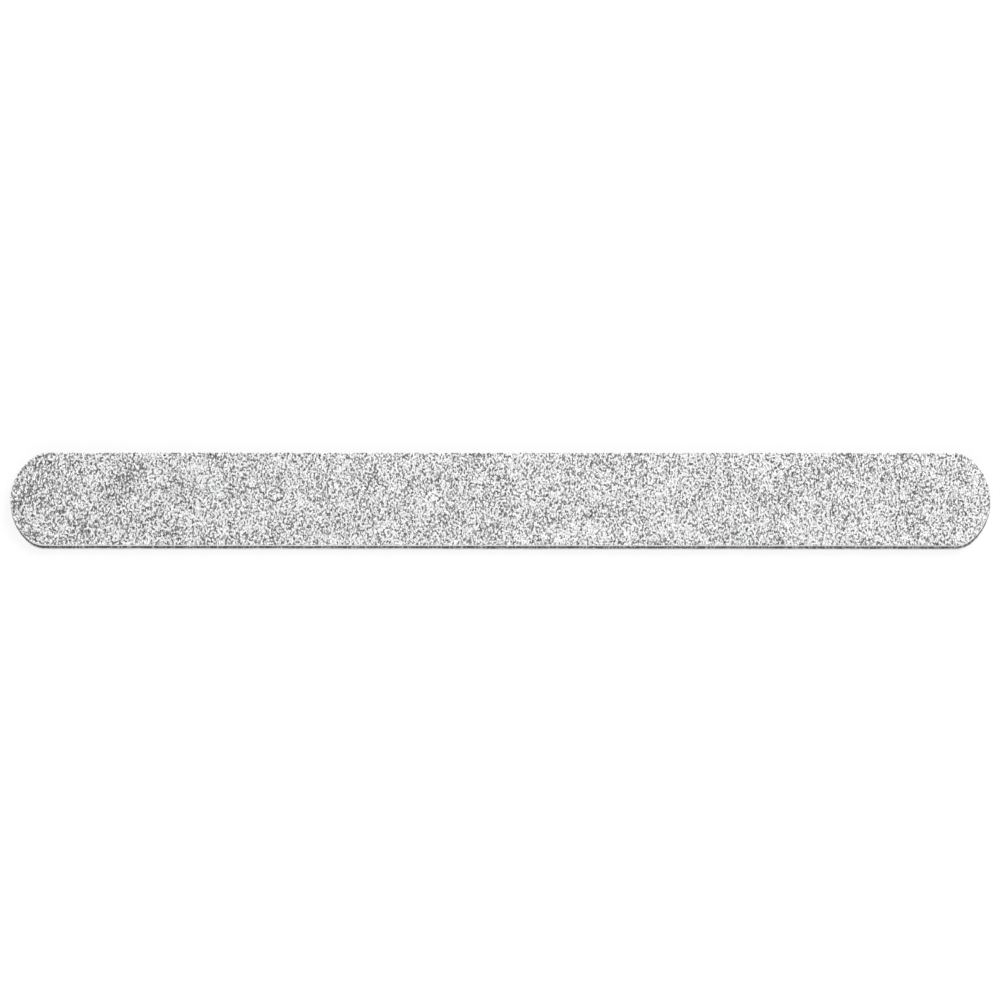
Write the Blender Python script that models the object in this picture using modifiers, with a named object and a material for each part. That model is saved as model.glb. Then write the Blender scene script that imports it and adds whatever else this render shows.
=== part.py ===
"""Foot file: a stiff flat board with the same coarse abrasive sheet bonded to both faces.

Metres, +Z up. X runs along the board and Y across it. The origin is the middle of the
underside, so the board lies on the plane Z = 0.
"""

import math

import bmesh
import bpy

# Outline: one die cuts the finished laminate, so every layer follows it
BOARD_LENGTH = 0.1778
BOARD_WIDTH = 0.01905
END_CROWN = 0.00505  # how far the middle of an end stands ahead of its square corners
CORNER_RADIUS = 0.0046  # easing between an end and a long side

# Thickness of each layer, from the middle of the board outwards
CORE_THICKNESS = 0.0009
ADHESIVE_THICKNESS = 0.00008
PAPER_THICKNESS = 0.00022
BOND_THICKNESS = 0.00008
GRIT_THICKNESS = 0.0002
GLUE_LINE = 0.00001  # clearance between the faces of two neighbouring layers

# How far each layer's edge lies inside the die's cut
CORE_SETBACK = 0.0
ADHESIVE_SETBACK = 0.00006
PAPER_SETBACK = 0.00002
BOND_SETBACK = 0.00006
GRIT_SETBACK = 0.00012  # the die crushes the outermost grains away

# Rounding of the rims
CORE_RIM_RADIUS = 0.00008
GRIT_RIM_RADIUS = 0.00012

# Facets of the arcs and rims
END_ARC_STEPS = 24
CORNER_ARC_STEPS = 8
RIM_SEGMENTS = 3
FLAT_ANGLE = math.radians(0.5)
SHARP_ANGLE = math.radians(30)
WELD_DISTANCE = 0.0000005

# Colour, roughness and metallic value of each material
FINISHES = {
    "core_plastic": ((0.075, 0.078, 0.08), 0.45, 0.0),
    "adhesive": ((0.72, 0.70, 0.64), 0.35, 0.0),
    "backing_paper": ((0.78, 0.78, 0.77), 0.85, 0.0),
    "bond_resin": ((0.42, 0.42, 0.42), 0.5, 0.0),
    "grit": ((0.60, 0.60, 0.60), 0.7, 0.0),
}


def clear_scene():
    """Removes what the scene starts with."""
    for leftover in list(bpy.data.objects):
        bpy.data.objects.remove(leftover)


def make_material(name):
    """A Principled material with the colour and finish of one of the layers."""
    colour, roughness, metallic = FINISHES[name]
    material = bpy.data.materials.new(name)
    material.use_nodes = True
    shader = material.node_tree.nodes["Principled BSDF"]
    shader.inputs["Base Color"].default_value = (*colour, 1)
    shader.inputs["Roughness"].default_value = roughness
    shader.inputs["Metallic"].default_value = metallic
    material.diffuse_color = (*colour, 1)
    return material


def arc(centre, radius, start_angle, end_angle, steps):
    """Points along an arc, from its start up to but not including its end."""
    turn = (end_angle - start_angle) / steps
    angles = [start_angle + turn * step for step in range(steps)]
    return [
        (centre[0] + radius * math.cos(angle), centre[1] + radius * math.sin(angle))
        for angle in angles
    ]


def end_radius():
    """Radius of the arc that joins an end's two square corners and stands END_CROWN ahead."""
    half_width = BOARD_WIDTH / 2
    return (half_width**2 + END_CROWN**2) / (2 * END_CROWN)


def board_outline(setback):
    """The die's closed outline moved inwards by setback, anticlockwise from the lower right.

    Each end is a shallow arc centred on the long axis. A corner arc, tangent to it from
    inside, turns it into the straight side.
    """
    big = end_radius()
    small = min(CORNER_RADIUS, BOARD_WIDTH / 2)
    centre_x = BOARD_LENGTH / 2 - big
    corner_y = BOARD_WIDTH / 2 - small
    corner_x = centre_x + math.sqrt((big - small) ** 2 - corner_y**2)
    joint = math.atan2(corner_y, corner_x - centre_x)
    quarter = math.pi / 2
    right = arc((corner_x, -corner_y), small - setback, -quarter, -joint, CORNER_ARC_STEPS)
    right += arc((centre_x, 0), big - setback, -joint, joint, END_ARC_STEPS)
    right += arc((corner_x, corner_y), small - setback, joint, quarter, CORNER_ARC_STEPS)
    right.append((corner_x, BOARD_WIDTH / 2 - setback))
    left = [(-x, -y) for x, y in right]
    return right + left


def outline_curve(name, setback, thickness):
    """A filled flat curve of the board's outline, thickened about its own plane."""
    curve = bpy.data.curves.new(name, "CURVE")
    curve.dimensions = "2D"
    curve.fill_mode = "BOTH"
    curve.extrude = thickness / 2
    points = board_outline(setback)
    spline = curve.splines.new("POLY")
    spline.points.add(len(points) - 1)
    for point, (x, y) in zip(spline.points, points):
        point.co = (x, y, 0, 1)
    spline.use_cyclic_u = True
    return bpy.data.objects.new(name, curve)


def mesh_of_curve(curve_object):
    """The curve's solid as one welded mesh, with a single flat face on each side."""
    bpy.context.scene.collection.objects.link(curve_object)
    graph = bpy.context.evaluated_depsgraph_get()
    mesh = bpy.data.meshes.new_from_object(curve_object.evaluated_get(graph))
    mesh.name = curve_object.name
    bpy.data.objects.remove(curve_object)
    shape = bmesh.new()
    shape.from_mesh(mesh)
    bmesh.ops.remove_doubles(shape, verts=shape.verts, dist=WELD_DISTANCE)
    bmesh.ops.dissolve_limit(
        shape, angle_limit=FLAT_ANGLE, verts=shape.verts, edges=shape.edges
    )
    bmesh.ops.recalc_face_normals(shape, faces=shape.faces)
    shape.to_mesh(mesh)
    shape.free()
    return mesh


def round_rims(piece, radius, both):
    """Rounds the outer rim of a layer with a Bevel, and the inner rim too where both is true."""
    shape = bmesh.new()
    shape.from_mesh(piece.data)
    weight = shape.edges.layers.float.new("bevel_weight_edge")
    for edge in shape.edges:
        heights = [corner.co.z for corner in edge.verts]
        on_outer_rim = min(heights) > 0
        on_inner_rim = max(heights) < 0
        edge[weight] = float(on_outer_rim or (both and on_inner_rim))
    shape.to_mesh(piece.data)
    shape.free()
    bevel = piece.modifiers.new("rounded rim", "BEVEL")
    bevel.limit_method = "WEIGHT"
    bevel.width = radius
    bevel.segments = RIM_SEGMENTS


def make_layer(name, thickness, setback, material, collection):
    """One layer of the laminate, centred on its own origin with its outer face towards +Z."""
    mesh = mesh_of_curve(outline_curve(name, setback, thickness))
    mesh.materials.append(material)
    mesh.shade_smooth()
    mesh.set_sharp_from_angle(angle=SHARP_ANGLE)
    layer = bpy.data.objects.new(name, mesh)
    collection.objects.link(layer)
    return layer


def make_core(middle, material, collection):
    """The stiff board in the middle, which carries everything else."""
    core = make_layer("core_board", CORE_THICKNESS, CORE_SETBACK, material, collection)
    round_rims(core, CORE_RIM_RADIUS, both=True)
    core.parent = middle


def sheet_layers():
    """The layers on one side: name, thickness, setback and material, from the core outwards."""
    return [
        ("adhesive_film", ADHESIVE_THICKNESS, ADHESIVE_SETBACK, "adhesive"),
        ("backing_paper", PAPER_THICKNESS, PAPER_SETBACK, "backing_paper"),
        ("bond_coat", BOND_THICKNESS, BOND_SETBACK, "bond_resin"),
        ("grit_layer", GRIT_THICKNESS, GRIT_SETBACK, "grit"),
    ]


def make_side(side, turn, middle, materials, collection):
    """The adhesive and abrasive sheet of one side, turned by turn about the long axis."""
    face = bpy.data.objects.new(side + "_face", None)
    face.rotation_euler.x = turn
    face.parent = middle
    collection.objects.link(face)
    height = CORE_THICKNESS / 2
    for kind, thickness, setback, material in sheet_layers():
        layer = make_layer(
            f"{side}_{kind}", thickness, setback, materials[material], collection
        )
        layer.parent = face
        layer.location.z = height + GLUE_LINE + thickness / 2
        height += GLUE_LINE + thickness
        if kind == "grit_layer":
            round_rims(layer, GRIT_RIM_RADIUS, both=False)
    return height


def main():
    clear_scene()
    collection = bpy.data.collections.new("foot_file")
    bpy.context.scene.collection.children.link(collection)
    materials = {name: make_material(name) for name in FINISHES}
    middle = bpy.data.objects.new("board_middle", None)
    collection.objects.link(middle)
    make_core(middle, materials["core_plastic"], collection)
    make_side("upper", 0, middle, materials, collection)
    half_thickness = make_side("lower", math.pi, middle, materials, collection)
    middle.location.z = half_thickness


main()
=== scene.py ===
"""Looks of the foot file: a dark core between two sheets of pale, coarse grit."""

import math

import bpy
import numpy as np
from mathutils import Matrix, Vector, geometry, kdtree


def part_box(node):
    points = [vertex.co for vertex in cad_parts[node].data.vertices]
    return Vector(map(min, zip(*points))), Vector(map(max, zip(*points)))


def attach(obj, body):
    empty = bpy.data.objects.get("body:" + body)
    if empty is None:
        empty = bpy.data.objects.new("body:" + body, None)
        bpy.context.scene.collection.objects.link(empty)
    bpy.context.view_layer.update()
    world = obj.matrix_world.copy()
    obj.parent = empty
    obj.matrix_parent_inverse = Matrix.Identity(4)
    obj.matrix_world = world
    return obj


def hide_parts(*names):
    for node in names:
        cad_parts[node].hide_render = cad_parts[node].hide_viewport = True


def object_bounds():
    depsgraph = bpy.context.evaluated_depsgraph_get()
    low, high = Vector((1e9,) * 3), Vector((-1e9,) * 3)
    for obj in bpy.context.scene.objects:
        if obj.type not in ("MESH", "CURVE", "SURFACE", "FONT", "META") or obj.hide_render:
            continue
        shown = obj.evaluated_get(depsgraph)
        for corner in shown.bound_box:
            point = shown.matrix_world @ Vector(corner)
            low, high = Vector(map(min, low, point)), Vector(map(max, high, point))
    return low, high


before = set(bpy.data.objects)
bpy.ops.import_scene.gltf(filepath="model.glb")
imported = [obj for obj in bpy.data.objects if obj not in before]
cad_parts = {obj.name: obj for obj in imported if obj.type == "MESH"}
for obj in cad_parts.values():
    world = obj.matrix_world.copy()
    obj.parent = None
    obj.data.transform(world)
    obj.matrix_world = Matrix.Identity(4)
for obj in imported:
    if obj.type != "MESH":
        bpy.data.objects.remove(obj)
CAD_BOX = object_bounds()
LOW, HIGH = CAD_BOX

# Lengths are in metres and angles in radians

# Camera, from the outline in the photograph: it leans away from straight overhead
CAMERA_TILT = math.radians(28.216)
CAMERA_YAW = -0.02
CAMERA_ROLL = -0.0005
CAMERA_DISTANCE = 1.6
CAMERA_ASIDE = 0.000028
CAMERA_DOWN = -0.000287
PIXELS_PER_METRE = 5515.3
PICTURE_SIDE = 1000
SENSOR_WIDTH = 36.0
CLIP_RATIO = 100  # of the farthest it sees to its distance, and of that to the nearest

# Layers and their cut edges
SHORTEST_SIDE = 0.000001  # shorter sides of an outline are dropped
EDGE_STEP = 0.00015  # space between places round a cut edge
RIM_STEPS = 3
SHARP_EDGE = math.radians(50)
GLUE_LINE = 0.00001  # clearance between layers in the frame, which their looks close
# Each kind of cut edge. rim is the radius of its rims, rows are of its wall between them, strips
# are what its map is folded into, and relief is the depth of one unit of roughness. Roughness is
# its bias and its waves together, from 0 to most. A wave has a weight, and the samples up the
# wall and along it that it is blurred by.
EDGES = {
    # Upright scores of the die, with pits between them
    "core": dict(
        rim=0.00008, rows=8, strips=20, relief=0.000018, bias=1.6, most=4,
        waves=((0.9, (30, 0.7)), (0.54, (30, 9)), (0.6, (1.0, 1.2))),
    ),
    # Fibres torn along the sheet
    "paper": dict(
        rim=0.000015, rows=3, strips=32, relief=0.000016, bias=1.2, most=3,
        waves=((1, (0.6, 2.2)),),
    ),
    # Glue that drew back in slow waves
    "glue": dict(
        rim=0.00002, rows=2, strips=36, relief=0.00002, bias=1.2, most=3,
        waves=((1, (30, 5)),),
    ),
}

# Grains
SEED = 7
GRAIN_SPACING = 0.000248
ROW_SPACING = 0.000325
GRAIN_JITTER = 0.42  # share of the spacing that a grain may stray along each axis
GRAIN_RADIUS = 0.000156
GRAIN_LEAN = 0.9  # most that a grain leans about X, and about Y
GRAIN_STRETCH = 1.65  # length of a grain along Y over its width along X
GRAIN_STRAY = 0.00003  # how far a grain may stand above or below its kind's height
GRAIN_ROOT = 0.1  # share of the bond coat's height that the grains don't reach down into
CORNER_REACH = (0.62, 1.25)  # range of a corner's distance from the middle, over the radius
CORNER_STRAY = 0.16  # spread of what is added to that along each axis
CRUSHED_RIM = 0.00009  # how far in from the cut the grains are shortened
OCTAHEDRON_SIDES, DECAHEDRON_SIDES = 4, 5
# Each kind of grain. share is of all grains, sides are of its girdle, rise is the height of its
# middle over the resin, and the ranges are of its size, its depth over its size, its display
# tone and its roughness.
GRAINS = {
    "dark_grains": dict(
        share=0.315, sides=OCTAHEDRON_SIDES, rise=0.00004,
        size=(0.95, 1.25), depth=(0.6, 1.1), tones=(38, 112), roughness=(0.3, 0.6),
    ),
    "grey_grains": dict(
        share=0.11, sides=DECAHEDRON_SIDES, rise=0.00005,
        size=(0.85, 1.15), depth=(0.6, 1.1), tones=(130, 195), roughness=(0.4, 0.65),
    ),
    "pale_grains": dict(
        share=0.12, sides=DECAHEDRON_SIDES, rise=0.00007,
        size=(0.85, 1.2), depth=(0.5, 0.9), tones=(215, 242), roughness=(0.3, 0.6),
    ),
    "white_grains": dict(
        share=0.455, sides=OCTAHEDRON_SIDES, rise=0.00009,
        size=(1.0, 1.3), depth=(0.4, 0.75), tones=(250, 253), roughness=(0.15, 0.4),
    ),
}
# The layer to whose edge the grains of each face reach: the die enters from above, and crushes
# the outermost grains of the lower face as it leaves
GRAINS_REACH = {"upper": "upper_backing_paper", "lower": "upper_grit_layer"}
# Drifts of like grains, left by the coating: how far apart they are, and their weight against
# chance in the choice of each grain's kind
DRIFTS = ((0.00072, 0.6), (0.01, 0.12))
DRIFT_STEP = 0.00005
DRIFT_FOCUS = 4  # how closely the patches of a drift keep to their spacing
# Painted shade: dark grains crowd towards the -X end and darken it as light falling off from the
# key at +X would: their weight at its tip, and how far in it fades to a third
PAINTED_SHADE_END = 0.3
PAINTED_SHADE_END_REACH = 0.027

# Resin between the grains
RESIN_STEP = 0.0002
RESIN_CLIMB = 0.00006
RESIN_REACH = 0.00010
RESIN_RIPPLE = 0.000008
RIPPLE_LIMIT = 2  # most that a ripple rises or dips, over RESIN_RIPPLE
RESIN_FOLDS = 3
RESIN_MAP_TOP = 0.9  # share of the resin's map that its top and wall fill
SHARP_RESIN = math.radians(60)

# Margins in the maps that the looks are baked through, as shares of the length and the height of
# a strip of wall, of the half strip of a cap, and of a fold of the resin
WALL_MARGINS = (0.005, 0.04)
CAP_MARGINS = (0.02, 0.04)
FOLD_MARGINS = (0.01, 0.02)
CELL_FILL = 0.38  # reach of a grain from its middle, in cells of its map

# Finishes
FINE_BUMP = 0.00001
COAT_SCALE = 9000  # features to the metre of the coat that mottles the grains
COAT_WEIGHT = 0.5  # of that mottle beside a grain's own tone

# Stage
FLOOR_SIZE = 6.0
FLOOR_TONE = 0.9  # of the floor as it lights the object
SHADOW_DEPTH = 0.15  # share of the floor's seen white that its shadows can take away
SHADOW_REACH = (0.12, 0.35)  # distances from the middle over which that share fades to nothing
SKY = 0.25
# Each lamp's place, the sides of its softbox and its power: a broad key from behind and right,
# and a fill from the front left
LAMPS = {
    "key_softbox": ((0.66, 0.60, 1.12), (0.9, 0.9), 16.2),
    "fill_softbox": ((-0.1, -0.7, 0.45), (0.8, 0.5), 4.2),
}


def srgb(value):
    """Linear light of a display value from 0 to 255."""
    share = value / 255
    if share <= 0.04045:
        return share / 12.92
    return ((share + 0.055) / 1.055) ** 2.4


def grey(value):
    return (srgb(value),) * 3 + (1,)


# Material helpers: owner is a material or a world


def new_material(name):
    """A new material, and its Principled shader."""
    material = bpy.data.materials.new(name)
    material.use_nodes = True
    shader = material.node_tree.nodes["Principled BSDF"]
    return material, shader


def add_node(owner, kind, **settings):
    node = owner.node_tree.nodes.new(kind)
    for name, value in settings.items():
        setattr(node, name, value)
    return node


def link(owner, output, socket):
    owner.node_tree.links.new(output, socket)


def noise_of(material, scale, detail=2.0, stretch=(1, 1, 1)):
    """Noise fixed to the object's own coordinates, with scale features to the metre."""
    place = add_node(material, "ShaderNodeTexCoord")
    mapping = add_node(material, "ShaderNodeMapping")
    mapping.inputs["Scale"].default_value = stretch
    noise = add_node(material, "ShaderNodeTexNoise")
    noise.inputs["Scale"].default_value = scale
    noise.inputs["Detail"].default_value = detail
    link(material, place.outputs["Object"], mapping.inputs["Vector"])
    link(material, mapping.outputs["Vector"], noise.inputs["Vector"])
    return noise.outputs["Fac"]


def ramp_of(material, source, stops):
    """A colour ramp over source. Each stop is a place and a colour."""
    ramp = add_node(material, "ShaderNodeValToRGB")
    elements = ramp.color_ramp.elements
    while len(elements) < len(stops):
        elements.new(0.5)
    for element, (place, colour) in zip(elements, stops):
        element.position = place
        element.color = colour
    link(material, source, ramp.inputs["Fac"])
    return ramp.outputs["Color"]


def range_of(owner, source, low, high):
    """source, which runs from 0 to 1, spread from low to high."""
    spread = add_node(owner, "ShaderNodeMapRange")
    spread.inputs["To Min"].default_value = low
    spread.inputs["To Max"].default_value = high
    link(owner, source, spread.inputs["Value"])
    return spread.outputs["Result"]


def bump_of(material, shader, source):
    """Fine relief on the shader, as high as source."""
    bump = add_node(material, "ShaderNodeBump")
    bump.inputs["Distance"].default_value = FINE_BUMP
    link(material, source, bump.inputs["Height"])
    link(material, bump.outputs["Normal"], shader.inputs["Normal"])


def speckled(name, stops, roughness, scale, detail=3.0, stretch=(1, 1, 1)):
    """A material with one noise behind its colour, its roughness and its fine relief."""
    material, shader = new_material(name)
    noise = noise_of(material, scale, detail, stretch)
    link(material, ramp_of(material, noise, stops), shader.inputs["Base Color"])
    link(material, range_of(material, noise, *roughness), shader.inputs["Roughness"])
    bump_of(material, shader, noise)
    return material


def core_finish():
    """Dark plastic, cut: mottled where it stretched pale, and scored from face to face."""
    material, shader = new_material("core_plastic_cut")
    mottle = noise_of(material, scale=3200, detail=4.0, stretch=(1, 1, 0.55))
    scores = noise_of(material, scale=3600, detail=1.0, stretch=(1, 1, 0.06))
    both = add_node(material, "ShaderNodeMix")
    both.inputs["Factor"].default_value = 0.5
    link(material, mottle, both.inputs["A"])
    link(material, scores, both.inputs["B"])
    mixed = both.outputs["Result"]
    stops = [(0.38, grey(12)), (0.50, grey(44)), (0.62, grey(165))]
    link(material, ramp_of(material, mixed, stops), shader.inputs["Base Color"])
    link(material, range_of(material, mixed, 0.35, 0.65), shader.inputs["Roughness"])
    bump_of(material, shader, mixed)
    return material


def glue_finish():
    """Cured glue, faintly yellow."""
    stops = [(0.3, (0.74, 0.73, 0.70, 1)), (0.7, (0.88, 0.875, 0.85, 1))]
    return speckled("adhesive_line", stops, roughness=(0.3, 0.6), scale=3000)


def paper_finish():
    """Cut paper, its fibres lying along the sheet."""
    stops = [(0.25, grey(220)), (0.5, grey(238)), (0.75, grey(246))]
    return speckled(
        "backing_paper_cut", stops,
        roughness=(0.75, 0.95), scale=6000, detail=4.0, stretch=(0.3, 0.3, 1.6),
    )


def resin_finish():
    """Cured resin, half glossy."""
    stops = [(0.3, grey(160)), (0.6, grey(205)), (0.8, grey(235))]
    return speckled("bond_resin_cured", stops, roughness=(0.4, 0.65), scale=2600)


def grain_finish(name, tones, roughness):
    """One kind of grain: its tone varies grain by grain within tones, mottled by the coat."""
    material, shader = new_material(name)
    tone = add_node(material, "ShaderNodeAttribute", attribute_name="tone")
    mottle = noise_of(material, COAT_SCALE)
    shift = add_node(material, "ShaderNodeMath", operation="MULTIPLY_ADD")
    link(material, mottle, shift.inputs[0])
    shift.inputs[1].default_value = COAT_WEIGHT
    link(material, tone.outputs["Fac"], shift.inputs[2])
    dark, pale = tones
    colour = ramp_of(material, shift.outputs["Value"], [(0.2, grey(dark)), (1.0, grey(pale))])
    link(material, colour, shader.inputs["Base Color"])
    link(material, range_of(material, mottle, *roughness), shader.inputs["Roughness"])
    bump_of(material, shader, mottle)
    return material


def make_finishes():
    """The materials of the layers and of each kind of grain."""
    finishes = {
        "core": core_finish(),
        "glue": glue_finish(),
        "paper": paper_finish(),
        "resin": resin_finish(),
    }
    for kind, facts in GRAINS.items():
        finishes[kind] = grain_finish(kind, facts["tones"], facts["roughness"])
    return finishes


# Outline of a layer, read from the frame


def outline_of(node):
    """The node's outline seen from above, anticlockwise from its +X tip."""
    flat = [corner.co.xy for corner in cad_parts[node].data.vertices]
    outline = np.array([flat[index] for index in geometry.convex_hull_2d(flat)])
    after = np.roll(outline, -1, 0)
    if np.sum(outline[:, 0] * after[:, 1] - after[:, 0] * outline[:, 1]) < 0:
        outline = outline[::-1]
    sides = np.roll(outline, -1, 0) - outline
    outline = outline[np.hypot(*sides.T) > SHORTEST_SIDE]
    return np.roll(outline, -outline[:, 0].argmax(), 0)


def edge_lines(outline):
    """Each side's outward normal and its distance from the origin."""
    sides = np.roll(outline, -1, 0) - outline
    normals = np.stack([sides[:, 1], -sides[:, 0]], 1)
    normals /= np.linalg.norm(normals, axis=1)[:, None]
    return normals, (normals * outline).sum(1)


def outside_by(points, lines):
    """How far each point lies outside the outline, and the normal of the side it is nearest to."""
    normals, offsets = lines
    past = points @ normals.T - offsets
    worst = past.argmax(1)
    return past[np.arange(len(points)), worst], normals[worst]


def pulled_inside(points, lines):
    """The points, with those outside the outline moved onto it."""
    past, normals = outside_by(points, lines)
    return points - normals * past.clip(0, None)[:, None]


def even_loop(outline, step):
    """Even places round the outline from its +X tip, and their outward normals.

    Their count is even and the outline is symmetric, so place k faces place -k across the board.
    """
    corners = np.vstack([outline, outline[0]])
    along = np.concatenate([[0], np.hypot(*np.diff(corners, axis=0).T).cumsum()])
    count = 2 * round(along[-1] / step / 2)
    wanted = np.arange(count) * along[-1] / count
    loop = np.stack([np.interp(wanted, along, corners[:, axis]) for axis in (0, 1)], 1)
    ahead = np.roll(loop, -1, 0) - np.roll(loop, 1, 0)
    ahead /= np.linalg.norm(ahead, axis=1)[:, None]
    return loop, np.stack([ahead[:, 1], -ahead[:, 0]], 1)


# Meshes and their maps


def mesh_of(name, points, face_sets, map_sets):
    """A mesh of some sets of faces with as many corners each, and its map, given set by set."""
    mesh = bpy.data.meshes.new(name)
    corners = np.concatenate([faces.ravel() for faces in face_sets]).astype(np.int32)
    sizes = np.concatenate([np.full(len(faces), faces.shape[1]) for faces in face_sets])
    starts = np.concatenate([[0], sizes.cumsum()[:-1]]).astype(np.int32)
    mesh.vertices.add(len(points))
    mesh.vertices.foreach_set("co", points.astype(np.float32).ravel())
    mesh.loops.add(len(corners))
    mesh.loops.foreach_set("vertex_index", corners)
    mesh.polygons.add(len(sizes))
    mesh.polygons.foreach_set("loop_start", starts)
    mesh.update(calc_edges=True)
    places = np.concatenate([places.reshape(-1, 2) for places in map_sets])
    flat_map = mesh.uv_layers.new(name="OFBake")
    flat_map.uv.foreach_set("vector", places.astype(np.float32).ravel())
    return mesh


def within(share, margin):
    """A share from 0 to 1, drawn in to leave a margin at both ends."""
    return margin + (1 - 2 * margin) * share


def box_share(points):
    """Places seen from above, as shares of the board's length and width."""
    return (points[..., :2] - LOW.xy) / (HIGH.xy - LOW.xy)


def show(name, mesh, material, slot, *nodes):
    """Puts a mesh in the scene as a piece that stands for those CAD nodes."""
    mesh.materials.append(material)
    piece = bpy.data.objects.new(name, mesh)
    bpy.context.scene.collection.objects.link(piece)
    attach(piece, "root")
    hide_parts(*nodes)


def show_on(side, kind, mesh, material, slot, layer):
    """Shows a mesh of the upper sheet on that side: the lower sheet is the upper turned over."""
    if side == "lower":
        middle = Matrix.Translation((0, 0, (LOW.z + HIGH.z) / 2))
        mesh.transform(middle @ Matrix.Rotation(math.pi, 4, "X") @ middle.inverted())
    show(f"{side}_{kind}", mesh, material, slot, f"{side}_{layer}")


# Layers with a rough cut edge


def ripples(rng, shape, widths):
    """Smooth noise of unit spread on a grid that wraps round, blurred by widths samples."""
    blurs = [
        np.exp(-2 * (math.pi * width * np.fft.fftfreq(count)) ** 2)
        for width, count in zip(widths, shape)
    ]
    field = np.fft.ifft2(np.fft.fft2(rng.normal(size=shape)) * np.multiply.outer(*blurs)).real
    return field / field.std()


def edge_relief(rng, shape, edge):
    """How far each sample of a cut edge lies in from its profile."""
    waves = sum(weight * ripples(rng, shape, widths) for weight, widths in edge["waves"])
    return edge["relief"] * (waves + edge["bias"]).clip(0, edge["most"])


def edge_profile(low, high, edge):
    """Heights and insets up a cut edge with rounded rims, from one face to the other."""
    rim = edge["rim"]
    turn = np.linspace(0, math.pi / 2, RIM_STEPS + 1)
    lift, inset = rim * (1 - np.cos(turn)), rim * (1 - np.sin(turn))
    between = np.linspace(low + rim, high - rim, edge["rows"] + 1)[1:-1]
    heights = np.concatenate([low + lift, between, high - lift[::-1]])
    insets = np.concatenate([inset, 0 * between, inset[::-1]])
    return heights, insets


def wall_quads(levels, count):
    """Faces between rings of count points that stand one on another."""
    start, place = np.meshgrid(np.arange(levels - 1) * count, np.arange(count), indexing="ij")
    after = (place + 1) % count
    corners = [start + place, start + after, start + count + after, start + count + place]
    return np.stack(corners, -1).reshape(-1, 4)


def cap_faces(count):
    """Faces of a cap on a ring of count points: quads across it, and a triangle at each tip."""
    far = count // 2
    near = np.arange(1, far - 1)
    quads = np.stack([near, near + 1, count - near - 1, count - near], 1)
    tips = np.array([(0, 1, count - 1), (far - 1, far, far + 1)])
    return quads, tips


def wall_map(levels, count, strips):
    """Map places of the faces of a wall, folded into strips."""
    per_strip = math.ceil(count / strips)
    row, place = np.meshgrid(np.arange(levels - 1), np.arange(count), indexing="ij")
    strip = place // per_strip
    along, across = WALL_MARGINS
    corners = []
    for up, on in ((0, 0), (0, 1), (1, 1), (1, 0)):
        u = within((place - strip * per_strip + on) / per_strip, along)
        v = (strip + within((row + up) / (levels - 1), across)) / (strips + 1)
        corners.append(np.stack([u, v], -1))
    return np.stack(corners, -2).reshape(-1, 4, 2)


def cap_map(points, half, strips):
    """Map places of the corners of a cap, in one half of the strip past the wall's."""
    share = box_share(points)
    along, across = CAP_MARGINS
    u = (half + within(share[..., 0], along)) / 2
    v = (strips + within(share[..., 1], across)) / (strips + 1)
    return np.stack([u, v], -1)


def cut_layer(name, node, edge, rng):
    """A closed solid in the node's place, with that kind of cut edge."""
    loop, outward = even_loop(outline_of(node), EDGE_STEP)
    low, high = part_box(node)
    heights, insets = edge_profile(low.z - GLUE_LINE / 2, high.z + GLUE_LINE / 2, edge)
    levels, count = len(heights), len(loop)
    inward = insets[:, None] + edge_relief(rng, (levels, count), edge)
    flat = loop - outward * inward[..., None]
    tall = np.broadcast_to(heights[:, None, None], (levels, count, 1))
    points = np.concatenate([flat, tall], 2).reshape(-1, 3)
    quads, tips = cap_faces(count)
    top = (levels - 1) * count
    under, over = (quads[:, ::-1], tips[:, ::-1]), (quads + top, tips + top)
    strips = edge["strips"]
    map_sets = [wall_map(levels, count, strips)]
    for half, cap in enumerate((under, over)):
        map_sets += [cap_map(points[faces], half, strips) for faces in cap]
    mesh = mesh_of(name, points, [wall_quads(levels, count), *under, *over], map_sets)
    mesh.shade_smooth()
    mesh.set_sharp_from_angle(angle=SHARP_EDGE)
    return mesh


def make_layers(rng, finishes):
    """The core, and the paper and the glue on both sides of it."""
    core = cut_layer("core_strip", "core_board", EDGES["core"], rng)
    show("core_strip", core, finishes["core"], "core_plastic", "core_board")
    for side in ("upper", "lower"):
        paper = cut_layer(f"{side}_paper", "upper_backing_paper", EDGES["paper"], rng)
        glue = cut_layer(f"{side}_glue", "upper_adhesive_film", EDGES["glue"], rng)
        show_on(side, "paper", paper, finishes["paper"], "backing_paper", "backing_paper")
        show_on(side, "glue", glue, finishes["glue"], "adhesive", "adhesive_film")


# Grains


def bipyramid(sides):
    """Corners and faces of a double pyramid on a regular polygon."""
    around = np.arange(sides) * math.tau / sides
    ring = np.stack([np.cos(around), np.sin(around), 0 * around], 1)
    corners = np.vstack([ring, [(0, 0, 1), (0, 0, -1)]])
    faces = []
    for side in range(sides):
        after = (side + 1) % sides
        faces += [(side, after, sides), (after, side, sides + 1)]
    return corners, np.array(faces)


def random_turns(rng, count, tilt):
    """Rotation matrices: any turn about Z, then leans of up to tilt about Y and about X."""
    lean_x, lean_y = rng.uniform(-tilt, tilt, (2, count))
    spin = rng.uniform(0, math.tau, count)
    one, zero = np.ones(count), np.zeros(count)

    def stack(rows):
        return np.stack([np.stack(row, -1) for row in rows], -2)

    cx, sx = np.cos(lean_x), np.sin(lean_x)
    cy, sy = np.cos(lean_y), np.sin(lean_y)
    cz, sz = np.cos(spin), np.sin(spin)
    about_x = stack([(one, zero, zero), (zero, cx, -sx), (zero, sx, cx)])
    about_y = stack([(cy, zero, sy), (zero, one, zero), (-sy, zero, cy)])
    about_z = stack([(cz, -sz, zero), (sz, cz, zero), (zero, zero, one)])
    return about_x @ about_y @ about_z


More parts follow.
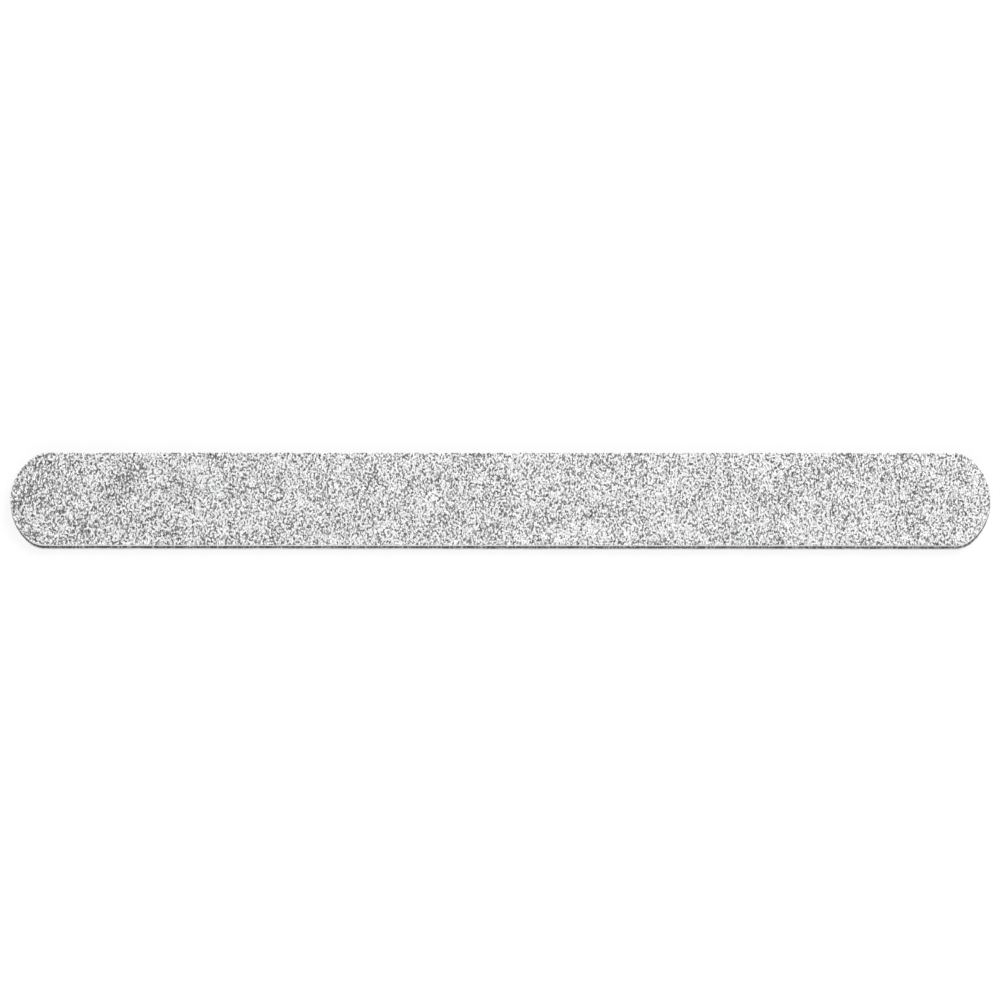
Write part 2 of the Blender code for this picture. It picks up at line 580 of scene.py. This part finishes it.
def grain_places(rng, lines, outline):
    """Middles of the grains inside the outline: a jittered grid, every other row offset."""
    low, high = outline.min(0), outline.max(0)
    rows = np.arange(low[1], high[1], ROW_SPACING)
    columns = np.arange(low[0], high[0], GRAIN_SPACING)
    x, y = np.meshgrid(columns, rows)
    x = x + (np.arange(len(rows)) % 2)[:, None] * GRAIN_SPACING / 2
    places = np.stack([x.ravel(), y.ravel()], 1)
    places += rng.uniform(-GRAIN_JITTER, GRAIN_JITTER, places.shape) * (GRAIN_SPACING, ROW_SPACING)
    past, _ = outside_by(places, lines)
    return places[past < 0]


def drift(rng, places, apart):
    """Noise of unit spread at the places, whose patches of one sign lie so far apart."""
    low = places.min(0)
    cell = ((places - low) / DRIFT_STEP).astype(int)
    shape = cell.max(0) + 1
    along, across = (np.fft.fftfreq(count, DRIFT_STEP) for count in shape)
    beat = np.hypot(along[:, None], across[None]) * apart
    wave = np.fft.fft2(rng.normal(size=shape)) * np.exp(-DRIFT_FOCUS * (beat - 1) ** 2)
    field = np.fft.ifft2(wave).real[cell[:, 0], cell[:, 1]]
    return field / field.std()


def dealt(rng, places):
    """A rank from 0 to 1 for each grain, by which the kinds are dealt out."""
    chance = math.sqrt(1 - sum(weight**2 for _, weight in DRIFTS))
    score = chance * rng.normal(size=len(places))
    for apart, weight in DRIFTS:
        score += weight * drift(rng, places, apart)
    # Painted shade: grains towards the -X end lean to the dark kinds, standing in for light that
    # falls off away from the key
    score -= PAINTED_SHADE_END * np.exp((LOW.x - places[:, 0]) / PAINTED_SHADE_END_REACH)
    return score.argsort().argsort() / len(places)


def cell_map(shape, faces):
    """Map places of grains seen from above, each grain in its own cell of a square grid."""
    count = len(shape)
    side = math.ceil(math.sqrt(count))
    cell = np.stack([np.arange(count) % side, np.arange(count) // side], 1)
    reach = np.abs(shape[..., :2]).max((1, 2))[:, None, None]
    places = cell[:, None] + 0.5 + CELL_FILL * shape[..., :2] / reach
    return (places / side)[:, faces].reshape(-1, 2)


def grain_mesh(name, rng, places, lines, levels, facts):
    """All grains of one kind as one mesh, each an irregular crystal within the die's outline.

    levels are the heights of the lowest grain's foot, of the resin between the grains, and of the
    highest grain's top.
    """
    corners, faces = bipyramid(facts["sides"])
    count = len(places)
    shape = corners[None] * rng.uniform(*CORNER_REACH, (count, len(corners), 1))
    shape = shape + rng.normal(0, CORNER_STRAY, shape.shape)
    shape = np.einsum("nij,nkj->nki", random_turns(rng, count, GRAIN_LEAN), shape)
    shape[..., 2] *= rng.uniform(*facts["depth"], (count, 1))
    shape[..., 1] *= GRAIN_STRETCH
    points = shape * GRAIN_RADIUS * rng.uniform(*facts["size"], (count, 1, 1))
    bottom, resin_top, top = levels
    points[..., 2] += resin_top + facts["rise"] + GRAIN_STRAY * rng.uniform(-1, 1, (count, 1))
    points[..., :2] += places[:, None]
    flat = points.reshape(-1, 3)
    past, _ = outside_by(flat[:, :2], lines)
    crushed = (CRUSHED_RIM + past).clip(0, CRUSHED_RIM)
    flat[:, 2] = np.clip(flat[:, 2], bottom, top - crushed**2 / CRUSHED_RIM)
    flat[:, :2] = pulled_inside(flat[:, :2], lines)
    all_faces = (faces[None] + (np.arange(count) * len(corners))[:, None, None]).reshape(-1, 3)
    mesh = mesh_of(name, flat, [all_faces], [cell_map(shape, faces)])
    tones = np.repeat(rng.random(count), len(corners))
    tone = mesh.attributes.new("tone", "FLOAT", "POINT")
    tone.data.foreach_set("value", tones.astype(np.float32))
    mesh.shade_flat()
    return mesh


def make_grains(side, rng, finishes):
    """The kinds of grain on one face, and the resin between them, laid as for the upper face."""
    outline = outline_of(GRAINS_REACH[side])
    lines = edge_lines(outline)
    bond_low, bond_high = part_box("upper_bond_coat")
    levels = (bond_low.z + GRAIN_ROOT * (bond_high.z - bond_low.z), bond_high.z, HIGH.z)
    places = grain_places(rng, lines, outline)
    resin = resin_mesh(f"{side}_resin", rng, places)
    show_on(side, "resin", resin, finishes["resin"], "bond_resin", "bond_coat")
    draw = dealt(rng, places)
    for kind, facts in GRAINS.items():
        chosen = (draw >= 0) & (draw < facts["share"])
        draw -= facts["share"]
        mesh = grain_mesh(f"{side}_{kind}", rng, places[chosen], lines, levels, facts)
        show_on(side, kind, mesh, finishes[kind], "grit", "grit_layer")


# Resin


def trimmed_grid(outline, lines):
    """Places and quads of a square grid trimmed to the outline."""
    low, high = outline.min(0), outline.max(0)
    columns = np.arange(low[0], high[0] + RESIN_STEP, RESIN_STEP)
    rows = np.arange(low[1], high[1] + RESIN_STEP, RESIN_STEP)
    x, y = np.meshgrid(columns, rows)
    places = np.stack([x.ravel(), y.ravel()], 1)
    inside = (outside_by(places, lines)[0] < 0).reshape(x.shape)
    kept = inside[:-1, :-1] | inside[1:, :-1] | inside[:-1, 1:] | inside[1:, 1:]
    number = np.arange(x.size).reshape(x.shape)
    corners = [number[:-1, :-1], number[:-1, 1:], number[1:, 1:], number[1:, :-1]]
    used, quads = np.unique(np.stack(corners, -1)[kept], return_inverse=True)
    return pulled_inside(places[used], lines), quads.reshape(-1, 4)


def border_of(quads):
    """The edges that only one quad has, each in that quad's direction."""
    edges = np.concatenate([quads[:, [k, (k + 1) % 4]] for k in range(4)]).astype(np.int64)
    span = edges.max() + 1
    met = np.isin(edges[:, 0] * span + edges[:, 1], edges[:, 1] * span + edges[:, 0])
    return edges[~met]


def rim_of(quads):
    """The outermost corners of the quads, in order round them."""
    after = dict(border_of(quads).tolist())
    rim = [min(after)]
    while after[rim[-1]] != rim[0]:
        rim.append(after[rim[-1]])
    return np.array(rim)


def folded_map(points, folds, low, high):
    """Map places of faces' corners, the board's length folded into strips from low to high."""
    share = box_share(points)
    fold = np.floor(share[..., 0].mean(1) * folds).clip(0, folds - 1)[:, None]
    along, across = FOLD_MARGINS
    u = within(share[..., 0] * folds - fold, along)
    v = low + (high - low) * (fold + within(share[..., 1], across)) / folds
    return np.stack([u, v], -1)


def nearest(places, grains):
    """The distance from each place to the nearest grain's middle."""
    tree = kdtree.KDTree(len(grains))
    for index, (x, y) in enumerate(grains):
        tree.insert((x, y, 0), index)
    tree.balance()
    return np.array([tree.find((x, y, 0))[2] for x, y in places])


def resin_mesh(name, rng, grains):
    """The cured resin: it climbs up each grain and dips between them."""
    outline = outline_of("upper_bond_coat")
    places, quads = trimmed_grid(outline, edge_lines(outline))
    low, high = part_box("upper_bond_coat")
    climb = RESIN_CLIMB * np.exp(-((nearest(places, grains) / RESIN_REACH) ** 2))
    ripple = RESIN_RIPPLE * rng.normal(size=len(places)).clip(-RIPPLE_LIMIT, RIPPLE_LIMIT)
    top = np.column_stack([places, high.z + climb + ripple])
    rim = rim_of(quads)
    bottom = np.column_stack([places[rim], np.full(len(rim), low.z - GLUE_LINE / 2)])
    below = len(places) + np.arange(len(rim))
    wall = np.stack([below, np.roll(below, -1), np.roll(rim, -1), rim], 1)
    floor = below[None, ::-1]
    points = np.vstack([top, bottom])
    map_sets = [
        folded_map(points[faces], RESIN_FOLDS, 0, RESIN_MAP_TOP) for faces in (quads, wall)
    ]
    map_sets.append(folded_map(points[floor], 1, RESIN_MAP_TOP, 1))
    mesh = mesh_of(name, points, [quads, wall, floor], map_sets)
    mesh.shade_smooth()
    mesh.set_sharp_from_angle(angle=SHARP_RESIN)
    return mesh


# Stage, light and camera


def white_to_the_eye(owner):
    """A factor of 1 for rays that show the background, and 0 for those that light the object."""
    ray = add_node(owner, "ShaderNodeLightPath")
    factor = ray.outputs["Is Camera Ray"]
    for kind in ("Is Glossy Ray", "Is Transmission Ray"):
        either = add_node(owner, "ShaderNodeMath", operation="MAXIMUM")
        link(owner, factor, either.inputs[0])
        link(owner, ray.outputs[kind], either.inputs[1])
        factor = either.outputs["Value"]
    return factor


def shadow_depth(material):
    """SHADOW_DEPTH by the object, fading to nothing further out."""
    place = add_node(material, "ShaderNodeTexCoord")
    away = add_node(material, "ShaderNodeVectorMath", operation="LENGTH")
    link(material, place.outputs["Object"], away.inputs[0])
    depth = add_node(material, "ShaderNodeMapRange", interpolation_type="SMOOTHSTEP")
    near, far = SHADOW_REACH
    limits = {"From Min": near, "From Max": far, "To Min": SHADOW_DEPTH, "To Max": 0}
    for socket, value in limits.items():
        depth.inputs[socket].default_value = value
    link(material, away.outputs["Value"], depth.inputs["Value"])
    return depth.outputs["Result"]


def matt(material, tone):
    """A matt shader of one grey."""
    shader = add_node(material, "ShaderNodeBsdfDiffuse")
    shader.inputs["Color"].default_value = (tone, tone, tone, 1)
    return shader.outputs["BSDF"]


def mix_of(material, factor, first, second):
    """first where the factor is 0, second where it is 1."""
    mix = add_node(material, "ShaderNodeMixShader")
    for output, socket in zip((factor, first, second), mix.inputs):
        link(material, output, socket)
    return mix.outputs["Shader"]


def floor_finish():
    """White to the eye but for a soft share of the object's shadow, and pale to the object."""
    material = bpy.data.materials.new("floor_white")
    material.use_nodes = True
    material.node_tree.nodes.clear()
    out = add_node(material, "ShaderNodeOutputMaterial")
    glow = add_node(material, "ShaderNodeEmission").outputs["Emission"]
    shown = mix_of(material, shadow_depth(material), glow, matt(material, 1))
    floor = mix_of(material, white_to_the_eye(material), matt(material, FLOOR_TONE), shown)
    link(material, floor, out.inputs["Surface"])
    return material


def make_stage():
    """A white floor that keeps a soft share of the object's shadow."""
    bpy.ops.mesh.primitive_plane_add(size=FLOOR_SIZE)
    floor = bpy.context.object
    floor.name = "floor"
    floor.data.materials.append(floor_finish())


def add_lamp(name, place, size, power):
    """A softbox that faces the object."""
    light = bpy.data.lights.new(name, "AREA")
    light.shape = "RECTANGLE"
    light.size, light.size_y = size
    light.energy = power
    lamp = bpy.data.objects.new(name, light)
    lamp.location = place
    lamp.rotation_mode = "QUATERNION"
    lamp.rotation_quaternion = (-Vector(place)).to_track_quat("-Z", "Y")
    bpy.context.scene.collection.objects.link(lamp)


def make_light():
    """The lamps, and a pale surround that shows as white."""
    for name, facts in LAMPS.items():
        add_lamp(name, *facts)
    world = bpy.data.worlds.new("surround")
    world.use_nodes = True
    sky = world.node_tree.nodes["Background"]
    sky.inputs["Color"].default_value = (1, 1, 1, 1)
    link(world, range_of(world, white_to_the_eye(world), SKY, 1.0), sky.inputs["Strength"])
    bpy.context.scene.world = world


def make_camera():
    """The photograph's view: nearly overhead, leaning so that the near cut edge shows."""
    camera = bpy.data.cameras.new("camera")
    camera.sensor_width = SENSOR_WIDTH
    camera.lens = PIXELS_PER_METRE * CAMERA_DISTANCE * SENSOR_WIDTH / PICTURE_SIDE
    camera.clip_start = CAMERA_DISTANCE / CLIP_RATIO
    camera.clip_end = CAMERA_DISTANCE * CLIP_RATIO
    turn = (
        Matrix.Rotation(CAMERA_ROLL, 3, "Z")
        @ Matrix.Rotation(CAMERA_YAW, 3, "Y")
        @ Matrix.Rotation(-CAMERA_TILT, 3, "X")
    )
    away = turn.transposed()
    target = Vector((0, 0, HIGH.z))
    place = target + away @ Vector((CAMERA_ASIDE, CAMERA_DOWN, CAMERA_DISTANCE))
    holder = bpy.data.objects.new("camera", camera)
    holder.matrix_world = Matrix.Translation(place) @ away.to_4x4()
    bpy.context.scene.collection.objects.link(holder)
    bpy.context.scene.camera = holder


def main():
    rng = np.random.default_rng(SEED)
    finishes = make_finishes()
    make_layers(rng, finishes)
    for side in ("upper", "lower"):
        make_grains(side, rng, finishes)
    make_stage()
    make_light()
    make_camera()
    bpy.context.scene.view_settings.view_transform = "Standard"


main()
